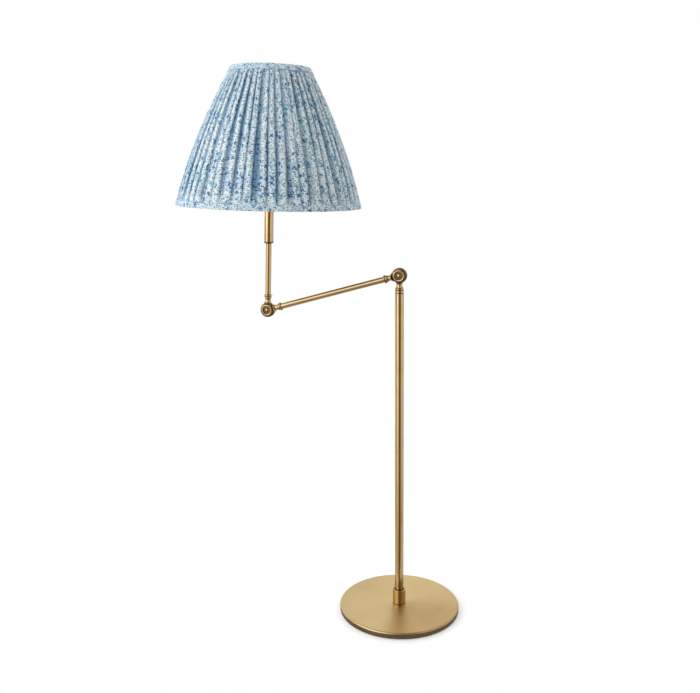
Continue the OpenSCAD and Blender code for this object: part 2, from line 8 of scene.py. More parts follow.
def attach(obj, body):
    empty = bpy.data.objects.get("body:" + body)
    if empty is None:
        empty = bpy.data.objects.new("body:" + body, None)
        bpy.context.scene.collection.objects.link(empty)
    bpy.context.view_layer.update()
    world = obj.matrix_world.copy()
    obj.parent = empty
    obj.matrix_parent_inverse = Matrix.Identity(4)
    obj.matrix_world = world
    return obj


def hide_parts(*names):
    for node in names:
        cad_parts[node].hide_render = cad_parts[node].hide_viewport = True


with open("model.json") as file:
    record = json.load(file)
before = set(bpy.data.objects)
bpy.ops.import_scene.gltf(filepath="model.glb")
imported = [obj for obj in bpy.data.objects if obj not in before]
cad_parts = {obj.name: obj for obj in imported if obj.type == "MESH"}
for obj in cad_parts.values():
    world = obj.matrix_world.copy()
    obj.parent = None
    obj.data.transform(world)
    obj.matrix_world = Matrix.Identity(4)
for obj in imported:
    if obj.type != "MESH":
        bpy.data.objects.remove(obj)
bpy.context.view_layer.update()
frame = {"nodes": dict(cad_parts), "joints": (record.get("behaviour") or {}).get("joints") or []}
cad = frame["nodes"]
scene = bpy.context.scene
print("frame loaded")

cameraView = {
    "place": (0.429, -1.703, 0.9574),
    "lens": 43.46,
    "azimuth": 17.52,  # degrees round from the front towards the right
    "dip": 7.89,  # degrees below level
    "roll": -0.414,
    "shiftY": -0.0836,
}


def addCamera(view):
    azimuth, dip, roll = radians(view["azimuth"]), radians(view["dip"]), radians(view["roll"])
    ahead = Vector((-sin(azimuth) * cos(dip), cos(azimuth) * cos(dip), -sin(dip)))
    side = Vector((cos(azimuth), sin(azimuth), 0))
    up = side.cross(ahead)
    side, up = side * cos(roll) + up * sin(roll), up * cos(roll) - side * sin(roll)
    data = bpy.data.cameras.new("photoCamera")
    data.lens = view["lens"]
    data.shift_y = view["shiftY"]
    camera = bpy.data.objects.new("photoCamera", data)
    turn = Matrix((side, up, -ahead)).transposed().to_4x4()
    camera.matrix_world = Matrix.Translation(view["place"]) @ turn
    scene.collection.objects.link(camera)
    scene.camera = camera


addCamera(cameraView)
print("camera placed")


def feed(tree, socket, value):
    if isinstance(value, bpy.types.NodeSocket):
        tree.links.new(value, socket)
    else:
        socket.default_value = value


def addNode(tree, kind, settings=None, **inputs):
    node = tree.nodes.new(kind)
    for key, value in (settings or {}).items():
        setattr(node, key, value)
    for key, value in inputs.items():
        feed(tree, node.inputs[key.replace("_", " ")], value)
    return node


def calc(tree, operation, first, second=0.0, third=None, clamp=False):
    node = addNode(tree, "ShaderNodeMath", {"operation": operation, "use_clamp": clamp})
    feed(tree, node.inputs[0], first)
    feed(tree, node.inputs[1], second)
    if third is not None:
        feed(tree, node.inputs[2], third)
    return node.outputs[0]


def vecCalc(tree, operation, first, second=(0, 0, 0), out=0):
    node = addNode(tree, "ShaderNodeVectorMath", {"operation": operation})
    feed(tree, node.inputs[0], first)
    feed(tree, node.inputs[1], second)
    return node.outputs[out]


def blendColour(tree, factor, first, second, mode="MIX"):
    node = addNode(tree, "ShaderNodeMix", {"data_type": "RGBA", "blend_type": mode})
    feed(tree, node.inputs[0], factor)
    feed(tree, node.inputs[6], first)
    feed(tree, node.inputs[7], second)
    return node.outputs[2]


def noiseAt(tree, place, scale, detail, roughness=0.5, out=0):
    node = addNode(tree, "ShaderNodeTexNoise", Vector=place, Scale=scale, Detail=detail, Roughness=roughness)
    return node.outputs[out]


def stepUp(tree, value, low, high):
    node = addNode(tree, "ShaderNodeMapRange", {"interpolation_type": "SMOOTHSTEP"}, Value=value)
    node.inputs["From Min"].default_value = low
    node.inputs["From Max"].default_value = high
    return node.outputs["Result"]


def sectorMask(tree, azimuth, middle, width, soft):
    # 1 in a sector of the given middle and width in degrees, fading over its soft edge
    off = calc(tree, "SUBTRACT", azimuth, radians(middle))
    off = calc(tree, "ABSOLUTE", calc(tree, "WRAP", off, pi, -pi))
    return stepUp(tree, off, radians(width / 2 + soft), radians(width / 2 - soft))


def constantRamp(tree, value, stops):
    # flat steps of colour, each from its own place on the ramp up to the next
    node = addNode(tree, "ShaderNodeValToRGB", Fac=value)
    ramp = node.color_ramp
    ramp.interpolation = "CONSTANT"
    while len(ramp.elements) < len(stops):
        ramp.elements.new(0.5)
    for element, (at, colour) in zip(ramp.elements, stops):
        element.position = at
        element.color = (*colour, 1)
    return node.outputs[0]


def newGroup(name, inputs, outputs):
    group = bpy.data.node_groups.new(name, "ShaderNodeTree")
    kinds = {"value": "NodeSocketFloat", "vector": "NodeSocketVector", "colour": "NodeSocketColor"}
    for label, kind, start in inputs:
        socket = group.interface.new_socket(label, in_out="INPUT", socket_type=kinds[kind])
        if start is not None:
            socket.default_value = start
    for label, kind in outputs:
        group.interface.new_socket(label, in_out="OUTPUT", socket_type=kinds[kind])
    return group, group.nodes.new("NodeGroupInput").outputs, group.nodes.new("NodeGroupOutput").inputs


def useGroup(tree, group, **inputs):
    return addNode(tree, "ShaderNodeGroup", {"node_tree": group}, **inputs).outputs


def newMaterial(name, colour, roughness, metallic=0.0):
    material = bpy.data.materials.new(name)
    material.use_nodes = True
    material.diffuse_color = (*colour, 1)
    tree = material.node_tree
    shader = tree.nodes["Principled BSDF"]
    shader.inputs["Base Color"].default_value = (*colour, 1)
    shader.inputs["Roughness"].default_value = roughness
    shader.inputs["Metallic"].default_value = metallic
    return material, tree, shader


def objectPlace(tree, turn=(0, 0, 0)):
    place = addNode(tree, "ShaderNodeTexCoord").outputs["Object"]
    return addNode(tree, "ShaderNodeMapping", Vector=place, Rotation=turn).outputs[0]


def addBump(tree, shader, height, distance, strength=1.0):
    bump = addNode(tree, "ShaderNodeBump", Strength=strength, Distance=distance, Height=height)
    tree.links.new(bump.outputs["Normal"], shader.inputs["Normal"])


def makeAgedGroup():
    # cloudy darkening and small dull spots, as on brass that has been handled
    group, given, out = newGroup(
        "agedBrass",
        [("Vector", "vector", None), ("Light", "colour", (1, 1, 1, 1)), ("Dark", "colour", (0, 0, 0, 1)),
         ("Cloud Scale", "value", 20.0), ("Amount", "value", 0.4), ("Roughness", "value", 0.3)],
        [("Colour", "colour"), ("Roughness", "value")])
    place = given["Vector"]
    cloud = stepUp(group, noiseAt(group, place, given["Cloud Scale"], 5.0, 0.62), 0.38, 0.68)
    spot = stepUp(group, noiseAt(group, place, 900.0, 2.0), 0.56, 0.7)
    ageing = calc(group, "ADD", cloud, calc(group, "MULTIPLY", spot, 0.35))
    mask = calc(group, "MULTIPLY", ageing, given["Amount"], clamp=True)
    duller = calc(group, "ADD", given["Roughness"], calc(group, "MULTIPLY", mask, 0.12))
    group.links.new(blendColour(group, mask, given["Light"], given["Dark"]), out["Colour"])
    group.links.new(duller, out["Roughness"])
    return group


def makeSatinGroup():
    # fine satin scratches: noise that is stretched along one way of the vector
    group, given, out = newGroup(
        "satinLines",
        [("Vector", "vector", None), ("Stretch", "vector", (1, 1, 40))],
        [("Height", "value"), ("Streak", "value")])
    squeezed = vecCalc(group, "MULTIPLY", given["Vector"], given["Stretch"])
    group.links.new(noiseAt(group, squeezed, 90.0, 4.0, 0.7), out["Height"])
    group.links.new(stepUp(group, noiseAt(group, squeezed, 14.0, 2.0), 0.3, 0.7), out["Streak"])
    return group


def makeWeaveGroup():
    # plain weave: threads over and under each other, with uneven yarn
    group, given, out = newGroup(
        "plainWeave",
        [("Vector", "vector", None), ("Threads", "value", 1800.0), ("Slub", "value", 0.3)],
        [("Height", "value"), ("Mask", "value")])
    place = given["Vector"]
    wobble = vecCalc(group, "MULTIPLY", noiseAt(group, place, 160.0, 2.0, out=1), (0.0004, 0.0004, 0))
    axes = addNode(group, "ShaderNodeSeparateXYZ", Vector=vecCalc(group, "ADD", place, wobble))
    waves = []
    for axis in (0, 1):
        thread = calc(group, "MULTIPLY", axes.outputs[axis], given["Threads"])
        waves.append(calc(group, "SINE", calc(group, "MULTIPLY", thread, pi)))
    over = calc(group, "MULTIPLY", *waves)
    slub = noiseAt(group, vecCalc(group, "MULTIPLY", place, (1, 12, 1)), 220.0, 1.0)
    uneven = calc(group, "MULTIPLY", slub, given["Slub"])
    group.links.new(calc(group, "ADD", calc(group, "MULTIPLY", over, 0.5), uneven), out["Height"])
    group.links.new(stepUp(group, over, -0.6, 0.6), out["Mask"])
    return group


# each tone list holds steps of a ramp, and a cell's random value picks one of them
ditsyPrint = {
    "washScale": 220.0,
    "groundPale": (0.88, 0.97, 1.0, 1),
    "groundBlue": (0.38, 0.69, 0.87, 1),
    "bloomScale": 80.0,
    "clusterScale": 42.0,
    "bloomTones": [(0.0, (0.74, 0.72, 0.76)), (0.10, (0.89, 0.94, 0.98)),
                   (0.52, (0.22, 0.53, 0.76)), (0.72, (0.07, 0.22, 0.50))],
    "heartTones": [(0.0, (0.025, 0.06, 0.18)), (0.55, (0.72, 0.70, 0.56)), (0.8, (0.46, 0.36, 0.46))],
    "leafScale": 140.0,
    "leafTones": [(0.0, (0.06, 0.25, 0.33)), (0.5, (0.05, 0.13, 0.34)), (0.8, (0.28, 0.37, 0.27))],
    "leavesLeftOut": 0.42,
    "seedScale": 220.0,
    "seedTones": [(0.0, (0.06, 0.15, 0.36)), (0.26, (0.86, 0.92, 0.95)), (0.72, (0.20, 0.46, 0.62))],
    "seedsLeftOut": 0.35,
    "denseScale": 24.0,
    "denseTone": (0.32, 0.60, 0.82, 1),
    "denseAmount": 0.25,
}


def scatterCells(group, place, scale, spread, shift):
    # scattered cells: how far a point is from its cell's middle, the way there, and three random values
    moved = vecCalc(group, "ADD", place, shift)
    flat = {"voronoi_dimensions": "2D"}
    cell = addNode(group, "ShaderNodeTexVoronoi", flat, Vector=moved, Scale=scale, Randomness=spread)
    here = vecCalc(group, "MULTIPLY", moved, (scale, scale, 0))
    middle = vecCalc(group, "MULTIPLY", cell.outputs["Position"], (scale, scale, 0))
    dice = addNode(group, "ShaderNodeSeparateColor", Color=cell.outputs["Color"])
    return cell.outputs["Distance"], vecCalc(group, "SUBTRACT", here, middle), dice.outputs


def lobedReach(group, offset, lobes, turn, swing, reach):
    # how far an outline with lobes reaches in the way of the offset, each cell's turned at random
    parts = addNode(group, "ShaderNodeSeparateXYZ", Vector=offset)
    angle = calc(group, "ARCTAN2", parts.outputs[1], parts.outputs[0])
    anyWay = calc(group, "MULTIPLY", turn, 6.28)
    phase = calc(group, "MULTIPLY_ADD", angle, lobes, anyWay)
    return calc(group, "MULTIPLY_ADD", calc(group, "COSINE", phase), swing, reach)


def makePrintGroup(look):
    # a ditsy print of its own layout: four-lobed blooms, leaf pairs and seed dots on a washed ground
    group, given, out = newGroup("ditsyPrint", [("Vector", "vector", None)], [("Colour", "colour")])
    place = given["Vector"]
    wash = stepUp(group, noiseAt(group, place, look["washScale"], 2.0), 0.44, 0.62)
    colour = blendColour(group, wash, look["groundPale"], look["groundBlue"])

    # large washed blooms: dark ones gather in clusters, and pale ones between them
    far, offset, dice = scatterCells(group, place, look["bloomScale"], 0.9, (0.0, 0.0, 0.0))
    lobes = lobedReach(group, offset, 4.0, dice[1], 0.09, 0.33)
    bloom = stepUp(group, calc(group, "SUBTRACT", lobes, far), -0.03, 0.06)
    cluster = calc(group, "MULTIPLY_ADD", noiseAt(group, place, look["clusterScale"], 1.0), 1.8, -0.9)
    lot = calc(group, "ADD", dice[0], cluster)
    colour = blendColour(group, bloom, colour, constantRamp(group, lot, look["bloomTones"]))
    heart = stepUp(group, far, 0.12, 0.07)
    colour = blendColour(group, heart, colour, constantRamp(group, dice[2], look["heartTones"]))

    # leaf pairs: narrow double lobes in teal, navy and olive
    far, offset, dice = scatterCells(group, place, look["leafScale"], 1.0, (0.371, 0.183, 0.0))
    lobes = lobedReach(group, offset, 2.0, dice[0], 0.20, 0.14)
    leaf = stepUp(group, calc(group, "SUBTRACT", lobes, far), -0.02, 0.04)
    leaf = calc(group, "MULTIPLY", leaf, calc(group, "GREATER_THAN", dice[1], look["leavesLeftOut"]))
    colour = blendColour(group, leaf, colour, constantRamp(group, dice[2], look["leafTones"]))

    # seed dots
    far, _, dice = scatterCells(group, place, look["seedScale"], 1.0, (0.077, 0.519, 0.0))
    chosen = calc(group, "GREATER_THAN", dice[0], look["seedsLeftOut"])
    seed = calc(group, "MULTIPLY", stepUp(group, far, 0.36, 0.26), chosen)
    colour = blendColour(group, seed, colour, constantRamp(group, dice[1], look["seedTones"]))

    # patches where the print is denser
    dense = stepUp(group, noiseAt(group, place, look["denseScale"], 1.0), 0.5, 0.68)
    dense = calc(group, "MULTIPLY", dense, look["denseAmount"])
    group.links.new(blendColour(group, dense, colour, look["denseTone"], "MULTIPLY"), out["Colour"])
    return group


agedGroup = makeAgedGroup()
satinGroup = makeSatinGroup()
weaveGroup = makeWeaveGroup()
printGroup = makePrintGroup(ditsyPrint)
print("shared effects built")

brassTones = {
    "light": (0.62, 0.445, 0.22, 1),
    "dark": (0.36, 0.225, 0.09, 1),
    "knuckleDark": (0.30, 0.19, 0.08, 1),
    "patinaAndShade": (0.10, 0.062, 0.025, 1),
    "crevice": (0.035, 0.020, 0.009, 1),
    "armLight": (0.44, 0.32, 0.165, 1),
    "baseLight": (0.645, 0.488, 0.242, 1),
    "baseDark": (0.54, 0.39, 0.182, 1),
    "baseSectorShade": (0.79, 0.72, 0.64, 1),
    "baseSideShade": (0.17, 0.115, 0.062, 1),
}


def darkBands(tree, centre, across, bands):
    # dark rings at set distances from a place, measured only along the ways that "across" names
    away = vecCalc(tree, "MULTIPLY", vecCalc(tree, "SUBTRACT", objectPlace(tree), centre), across)
    distance = vecCalc(tree, "LENGTH", away, out=1)
    mask = 0.0
    for nearest, furthest, soft, amount in bands:
        inner = stepUp(tree, distance, nearest - soft, nearest)
        outer = stepUp(tree, distance, furthest + soft, furthest)
        band = calc(tree, "MULTIPLY", calc(tree, "MULTIPLY", inner, outer), amount)
        mask = calc(tree, "MAXIMUM", mask, band)
    return mask


def makeBrass(name, amount, roughness, stretch, light="light", dark="dark", cloud=22.0, crevice=0.004,
              turn=(0, 0, 0), toned=None):
    # crevice is how far the painted crevice shade, which stands also for the patina of antique brass, reaches
    # from an inner corner, and toned holds what darkBands takes
    material, tree, shader = newMaterial(name, brassTones[light][:3], roughness, 1.0)
    place = objectPlace(tree, turn)
    aged = useGroup(tree, agedGroup, Vector=place, Light=brassTones[light], Dark=brassTones[dark],
                    Cloud_Scale=cloud, Amount=amount, Roughness=roughness)
    satin = useGroup(tree, satinGroup, Vector=place, Stretch=stretch)
    streak = calc(tree, "MULTIPLY", satin["Streak"], 0.12)
    colour = blendColour(tree, streak, aged["Colour"], brassTones[dark])
    # ambient occlusion darkens inner corners and crevices: painted shade, together with the dark patina that
    # antique brass keeps there
    shadow = addNode(tree, "ShaderNodeAmbientOcclusion", {"samples": 16}, Distance=crevice)
    creviceShadeAndPatina = stepUp(tree, shadow.outputs["AO"], 0.96, 0.5)
    colour = blendColour(tree, creviceShadeAndPatina, colour, brassTones["crevice"])
    # the bands darken the colour with painted shade and painted dark reflection, together with some patina
    if toned:
        colour = blendColour(tree, darkBands(tree, *toned), colour, brassTones["patinaAndShade"])
    tree.links.new(colour, shader.inputs["Base Color"])
    duller = calc(tree, "ADD", aged["Roughness"], calc(tree, "MULTIPLY", satin["Streak"], 0.05))
    tree.links.new(duller, shader.inputs["Roughness"])
    shader.inputs["Coat Weight"].default_value = 0.25
    shader.inputs["Coat Roughness"].default_value = 0.12
    addBump(tree, shader, satin["Height"], 0.00001, 0.2)
    return material


# dimmer sectors painted into the base's colour, a painted reflection standing for the darker sectors that
# turned brass shows: middle, width and softness in degrees round from +X, amount
baseReflectionSectors = [(-18.0, 100.0, 35.0, 0.95), (-74.0, 20.0, 14.0, 0.95)]


def makeBaseBrass(sectors):
    # the base is satin turned: fine rings round its centre
    material, tree, shader = newMaterial("satinBaseBrass", brassTones["baseLight"][:3], 0.4, 1.0)
    place = objectPlace(tree)
    axes = addNode(tree, "ShaderNodeSeparateXYZ", Vector=place)
    flat = addNode(tree, "ShaderNodeCombineXYZ", X=axes.outputs[0], Y=axes.outputs[1])
    radius = calc(tree, "MULTIPLY", vecCalc(tree, "LENGTH", flat.outputs[0], out=1), 30.0)
    ringPlace = addNode(tree, "ShaderNodeCombineXYZ", X=radius, Y=axes.outputs[2])
    rings = noiseAt(tree, ringPlace.outputs[0], 120.0, 4.0)
    aged = useGroup(tree, agedGroup, Vector=place, Light=brassTones["baseLight"],
                    Dark=brassTones["baseDark"], Cloud_Scale=9.0, Amount=0.35, Roughness=0.38)
    around = calc(tree, "ARCTAN2", axes.outputs[1], axes.outputs[0])
    colour = aged["Colour"]
    # painted reflection: each sector darkens the colour whichever way the light falls
    for middle, width, soft, amount in sectors:
        dim = calc(tree, "MULTIPLY", sectorMask(tree, around, middle, width, soft), amount)
        colour = blendColour(tree, dim, colour, brassTones["baseSectorShade"], "MULTIPLY")
    # where the surface faces sideways the colour is painted dark: painted shade standing for the dark floor
    # that the side wall reflects
    normal = addNode(tree, "ShaderNodeTexCoord").outputs["Normal"]
    facing = addNode(tree, "ShaderNodeSeparateXYZ", Vector=normal)
    side = stepUp(tree, facing.outputs[2], 0.5, 0.15)
    tree.links.new(blendColour(tree, side, colour, brassTones["baseSideShade"]), shader.inputs["Base Color"])
    tree.links.new(calc(tree, "MULTIPLY_ADD", rings, 0.06, aged["Roughness"]), shader.inputs["Roughness"])
    addBump(tree, shader, rings, 0.000006, 0.5)
    return material


def jointPlace(name):
    return Vector(next(joint for joint in frame["joints"] if joint["name"] == name)["pos_m"])


elbow = jointPlace("stem_tilt")
shoulder = jointPlace("arm_tilt")
stemLean = 2.0  # degrees that the stem leans from upright
armSlope = 15.9  # degrees that the arm slopes from level

# brown bands painted into the brass: painted shade in grooves, recesses and the dish, painted dark reflection
# on the knuckles' rims and the pole's foot, with some patina; nearest and furthest distance, softness, amount
bandsNear = {
    "knuckle": [(0.0048, 0.0086, 0.001, 0.85), (0.0124, 0.0165, 0.0010, 0.9),
                (0.0258, 0.0268, 0.0006, 0.6), (0.0296, 0.0312, 0.0006, 0.7)],
    "bush": [(0.0305, 0.0312, 0.0004, 0.8), (0.0359, 0.0371, 0.0004, 0.8)],
    "sleeve": [(0.1478, 0.1512, 0.0005, 0.7)],
    "poleFoot": [(-1.0, 0.016, 0.009, 0.32)],
}
# the pole is painted darker near its foot: painted shade standing for the dark reflection of the base
poleFootShade = ((0, 0, 0.045), (0, 0, 1), bandsNear["poleFoot"])
bushTone = (tuple(shoulder), (0, 0, 1), bandsNear["bush"])
sleeveTone = (tuple(elbow), (0, 0, 1), bandsNear["sleeve"])
shoulderTone = (tuple(shoulder), (1, 0, 1), bandsNear["knuckle"])
elbowTone = (tuple(elbow), (1, 0, 1), bandsNear["knuckle"])

stemTurn = (0, radians(-stemLean), 0)
armTurn = (0, radians(armSlope), 0)
upright = (1, 1, 0.02)  # satin lines that run up a tube
even = (1, 1, 1)
knuckleLook = {"dark": "knuckleDark", "cloud": 60.0, "crevice": 0.006}

poleBrass = makeBrass("antiquePoleBrass", 0.25, 0.12, upright, toned=poleFootShade)
bushBrass = makeBrass("antiqueBushBrass", 0.25, 0.14, upright, toned=bushTone)
stemBrass = makeBrass("antiqueStemBrass", 0.25, 0.14, upright, turn=stemTurn)
sleeveBrass = makeBrass("antiqueSleeveBrass", 0.25, 0.14, upright, turn=stemTurn, toned=sleeveTone)
# the arm takes a darker copy of the brass colour: painted shade along the arm
armBrass = makeBrass("antiqueArmBrass", 0.35, 0.16, (0.02, 1, 1), "armLight", turn=armTurn)
shoulderBrass = makeBrass("antiqueShoulderBrass", 0.45, 0.18, even, toned=shoulderTone, **knuckleLook)
elbowBrass = makeBrass("antiqueElbowBrass", 0.45, 0.18, even, toned=elbowTone, **knuckleLook)
boltBrass = makeBrass("antiqueBoltBrass", 0.4, 0.16, even, cloud=60.0, crevice=0.002)
socketBrass = makeBrass("antiqueSocketBrass", 0.45, 0.2, (0.03, 0.03, 1), "baseDark", cloud=40.0,
                        crevice=0.003)
baseBrass = makeBaseBrass(baseReflectionSectors)
hardwareBrass = makeBrass("threadedBrass", 0.3, 0.32, (1, 1, 3), cloud=80.0, crevice=0.002)


def makeSteel():
    material, tree, shader = newMaterial("zincSteel", (0.6, 0.6, 0.6), 0.35, 1.0)
    satin = useGroup(tree, satinGroup, Vector=objectPlace(tree), Stretch=(1, 1, 1))
    colour = blendColour(tree, satin["Streak"], (0.62, 0.63, 0.64, 1), (0.45, 0.46, 0.48, 1))
    tree.links.new(colour, shader.inputs["Base Color"])
    tree.links.new(calc(tree, "MULTIPLY_ADD", satin["Streak"], 0.2, 0.28), shader.inputs["Roughness"])
    addBump(tree, shader, satin["Height"], 0.00002)
    return material


def makeIron():
    material, tree, shader = newMaterial("castIronSkin", (0.06, 0.06, 0.06), 0.7, 0.2)
    grit = noiseAt(tree, objectPlace(tree), 420.0, 6.0, 0.7)
    colour = blendColour(tree, grit, (0.03, 0.03, 0.032, 1), (0.11, 0.10, 0.095, 1))
    tree.links.new(colour, shader.inputs["Base Color"])
    tree.links.new(calc(tree, "MULTIPLY_ADD", grit, 0.3, 0.55), shader.inputs["Roughness"])
    addBump(tree, shader, grit, 0.0006)
    return material


def makeFelt():
    material, tree, shader = newMaterial("pressedFelt", (0.05, 0.045, 0.04), 0.95)
    place = objectPlace(tree)
    fuzz = noiseAt(tree, place, 1400.0, 5.0, 0.75)
    clumps = noiseAt(tree, place, 160.0, 2.0)
    colour = blendColour(tree, clumps, (0.035, 0.032, 0.03, 1), (0.085, 0.078, 0.07, 1))
    tree.links.new(colour, shader.inputs["Base Color"])
    shader.inputs["Sheen Weight"].default_value = 0.4
    addBump(tree, shader, fuzz, 0.0005)
    return material


def makeRubber():
    material, tree, shader = newMaterial("brownRubber", (0.09, 0.05, 0.03), 0.55)
    grain = noiseAt(tree, objectPlace(tree), 1200.0, 3.0)
    tree.links.new(calc(tree, "MULTIPLY_ADD", grain, 0.2, 0.42), shader.inputs["Roughness"])
    addBump(tree, shader, grain, 0.00005)
    return material


def makeCeramic():
    material, tree, shader = newMaterial("glazedPorcelain", (0.80, 0.78, 0.73), 0.25)
    speck = noiseAt(tree, objectPlace(tree), 700.0, 2.0)
    mask = stepUp(tree, speck, 0.6, 0.75)
    colour = blendColour(tree, mask, (0.80, 0.78, 0.73, 1), (0.62, 0.58, 0.50, 1))
    tree.links.new(colour, shader.inputs["Base Color"])
    shader.inputs["Coat Weight"].default_value = 0.5
    addBump(tree, shader, speck, 0.00003)
    return material


def makeRingPlastic():
    material, tree, shader = newMaterial("ivoryBakelite", (0.78, 0.74, 0.64), 0.4)
    grain = noiseAt(tree, objectPlace(tree), 300.0, 3.0)
    colour = blendColour(tree, grain, (0.80, 0.76, 0.67, 1), (0.72, 0.67, 0.56, 1))
    tree.links.new(colour, shader.inputs["Base Color"])
    addBump(tree, shader, grain, 0.00002)
    return material


def makeWirePaint():
    material, tree, shader = newMaterial("whiteFrameEnamel", (0.78, 0.77, 0.74), 0.38)
    runs = noiseAt(tree, objectPlace(tree), 260.0, 4.0)
    mask = stepUp(tree, runs, 0.45, 0.75)
    colour = blendColour(tree, mask, (0.80, 0.79, 0.76, 1), (0.66, 0.64, 0.60, 1))
    tree.links.new(colour, shader.inputs["Base Color"])
    tree.links.new(calc(tree, "MULTIPLY_ADD", runs, 0.25, 0.28), shader.inputs["Roughness"])
    addBump(tree, shader, runs, 0.0001)
    return material


def makeOpalGlass():
    material, tree, shader = newMaterial("opalBulbGlass", (0.93, 0.93, 0.91), 0.16)
    cloud = noiseAt(tree, objectPlace(tree), 30.0, 3.0)
    colour = blendColour(tree, cloud, (0.94, 0.94, 0.92, 1), (0.89, 0.89, 0.87, 1))
    tree.links.new(colour, shader.inputs["Base Color"])
    shader.inputs["Coat Weight"].default_value = 0.6
    shader.inputs["Subsurface Weight"].default_value = 0.3
    shader.inputs["Subsurface Radius"].default_value = (0.01, 0.01, 0.01)
    return material


def makeLiningCloth():
    material, tree, shader = newMaterial("ivoryLiningCloth", (0.86, 0.84, 0.79), 0.85)
    place = addNode(tree, "ShaderNodeUVMap", {"uv_map": "cloth"}).outputs[0]
    weave = useGroup(tree, weaveGroup, Vector=place, Threads=1500.0, Slub=0.35)
    colour = blendColour(tree, weave["Mask"], (0.80, 0.78, 0.72, 1), (0.88, 0.86, 0.81, 1))
    tree.links.new(colour, shader.inputs["Base Color"])
    shader.inputs["Sheen Weight"].default_value = 0.15
    addBump(tree, shader, weave["Height"], 0.00012)
    return material


shadeClothLook = {
    "threads": 1700.0,
    "slub": 0.25,
    "threadTone": (0.95, 0.97, 0.98, 1),
    "foldShadeTone": (0.08, 0.23, 0.37, 1),  # painted shade deep in the folds of the pleats
    "foldShadeAmount": 0.93,
    "bandTone": (0.88, 0.91, 0.94, 1),
}


def makeShadeCloth(name, look, tucks):
    material, tree, shader = newMaterial(name, (0.62, 0.74, 0.84), 0.85)
    place = addNode(tree, "ShaderNodeUVMap", {"uv_map": "cloth"}).outputs[0]
    weave = useGroup(tree, weaveGroup, Vector=place, Threads=look["threads"], Slub=look["slub"])
    colour = useGroup(tree, printGroup, Vector=place)["Colour"]
    threads = calc(tree, "MULTIPLY", weave["Mask"], 0.10)
    colour = blendColour(tree, threads, colour, look["threadTone"], "MULTIPLY")
    if tucks:
        # painted shade: the tuck attribute darkens the print in the folds
        tuck = addNode(tree, "ShaderNodeAttribute", {"attribute_name": "tuck"}).outputs["Fac"]
        fold = calc(tree, "MULTIPLY", tuck, look["foldShadeAmount"])
        colour = blendColour(tree, fold, colour, look["foldShadeTone"], "MULTIPLY")
    else:
        colour = blendColour(tree, 1.0, colour, look["bandTone"], "MULTIPLY")
    tree.links.new(colour, shader.inputs["Base Color"])
    shader.inputs["Sheen Weight"].default_value = 0.1
    addBump(tree, shader, weave["Height"], 0.00012)
    return material


zincSteel = makeSteel()
castIronSkin = makeIron()
pressedFelt = makeFelt()
brownRubber = makeRubber()
glazedPorcelain = makeCeramic()
ivoryBakelite = makeRingPlastic()
whiteFrameEnamel = makeWirePaint()
opalBulbGlass = makeOpalGlass()
ivoryLiningCloth = makeLiningCloth()
pleatedPrintCloth = makeShadeCloth("pleatedPrintCloth", shadeClothLook, True)
bandPrintCloth = makeShadeCloth("bandPrintCloth", shadeClothLook, False)

nodeFinishes = {
    "base_felt": pressedFelt,
    "base_weight": castIronSkin,
    "base_cover": baseBrass,
    "cable_grommet": brownRubber,
    "base_nipple": hardwareBrass,
    "base_washer": zincSteel,
    "base_nut": hardwareBrass,
    "pole_socket": socketBrass,
    "pole_foot_plug": hardwareBrass,
    "pole": poleBrass,
    "swivel_bush": bushBrass,
    "swivel_knuckle": shoulderBrass,
    "swivel_washer": zincSteel,
    "swivel_nut": hardwareBrass,
    "shoulder_bolt": boltBrass,
    "shoulder_cap_nut": boltBrass,
    "shoulder_washer": zincSteel,
    "arm_shoulder_knuckle": shoulderBrass,
    "arm_tube": armBrass,
    "arm_elbow_knuckle": elbowBrass,
    "stem_knuckle": elbowBrass,
    "elbow_bolt": boltBrass,
    "elbow_cap_nut": boltBrass,
    "elbow_washer": zincSteel,
    "stem_tube": stemBrass,
    "holder_sleeve": sleeveBrass,
    "holder_nipple": hardwareBrass,
    "holder_cap": stemBrass,
    "holder_skirt": stemBrass,
    "holder_core": glazedPorcelain,
    "holder_shell": hardwareBrass,
    "holder_contact": hardwareBrass,
    "shade_fitter": whiteFrameEnamel,
    "shade_bottom_ring": whiteFrameEnamel,
    "shade_top_ring": whiteFrameEnamel,
    "shade_struts": whiteFrameEnamel,
    "bulb_glass": opalBulbGlass,
}


def finishNode(name, material):
    piece = cad[name]
    if not piece.material_slots:
        piece.data.materials.append(material)
    for slot in piece.material_slots:
        slot.link = "OBJECT"
        slot.material = material


for name, material in nodeFinishes.items():
    finishNode(name, material)
print("finishes laid on the metal, glass and plastic")

shadeSizes = {
    "footAt": 0.229,  # up the stem from the elbow
    "height": 0.292,
    "footRadius": 0.200,
    "headRadius": 0.084,
    "bow": 0.0095,
    "band": 0.012,
    "liningIn": 0.0080,
}

stemPlace = Matrix.Translation(elbow) @ Matrix.Rotation(radians(stemLean), 4, "Y")
shadePlace = stemPlace @ Matrix.Translation((0, 0, shadeSizes["footAt"]))


def makeSideRadius(shade):
    # the side is an arc through both rims, and this gives its radius at a height
    reach = shade["footRadius"] - shade["headRadius"]
    chord = sqrt(reach ** 2 + shade["height"] ** 2)
    bowRadius = (chord ** 2 / 4 + shade["bow"] ** 2) / (2 * shade["bow"])
    away = bowRadius - shade["bow"]  # from the arc's centre to the chord
    centreOut = (shade["footRadius"] + shade["headRadius"]) / 2 - away * shade["height"] / chord
    centreUp = shade["height"] / 2 - away * reach / chord
    return lambda up: centreOut + sqrt(bowRadius ** 2 - (up - centreUp) ** 2)


sideRadius = makeSideRadius(shadeSizes)


